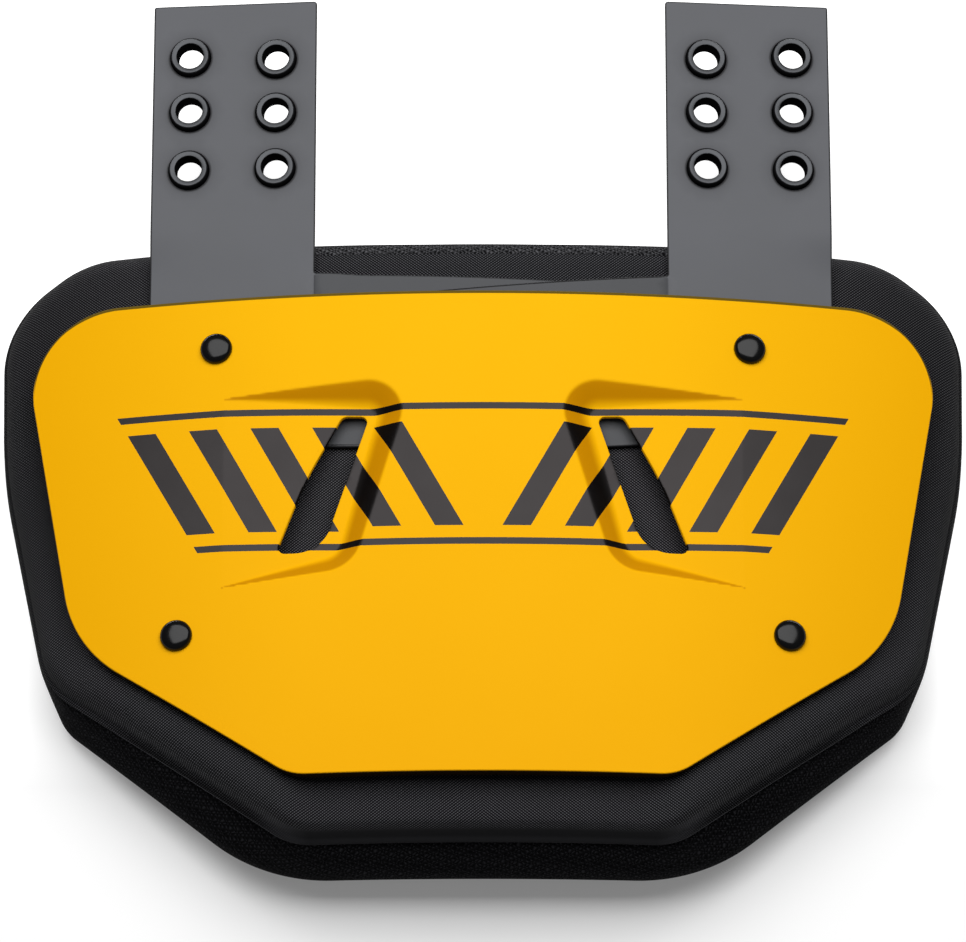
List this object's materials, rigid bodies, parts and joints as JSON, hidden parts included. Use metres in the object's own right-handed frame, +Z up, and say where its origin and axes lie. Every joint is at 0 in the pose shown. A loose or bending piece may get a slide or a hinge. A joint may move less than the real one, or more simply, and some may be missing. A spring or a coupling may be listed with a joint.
{
  "type": "football back plate",
  "caption": "Curved plastic back guard on a padded body, with scooped vents, domed rivets and two grommeted hanging straps.",
  "frame": {"origin": "middle of the bounding box's base, on the surface that the pad's back rests on", "axes": "+Z up, out of the plate's front; +Y toward the free ends of the straps; +X to the right as the plate is seen from the front"},
  "size_m": [0.3326, 0.3116, 0.061],
  "materials": {
    "plate": "satin",
    "strap": "satin",
    "grommet": "satin",
    "rivet": "gloss",
    "front_fabric": "fine weave",
    "mesh_fabric": "coarse spacer mesh"
  },
  "bodies": {
    "root": {"face_plate": "plate", "strap_left": "strap", "strap_right": "strap", "grommet_left_1": "grommet", "grommet_left_2": "grommet", "grommet_left_3": "grommet", "grommet_left_4": "grommet", "grommet_left_5": "grommet", "grommet_left_6": "grommet", "grommet_right_1": "grommet", "grommet_right_2": "grommet", "grommet_right_3": "grommet", "grommet_right_4": "grommet", "grommet_right_5": "grommet", "grommet_right_6": "grommet", "rivet_upper_left": "rivet", "rivet_upper_right": "rivet", "rivet_lower_left": "rivet", "rivet_lower_right": "rivet", "pad_front": "front_fabric", "pad_body": "mesh_fabric"}
  },
  "joints": []
}
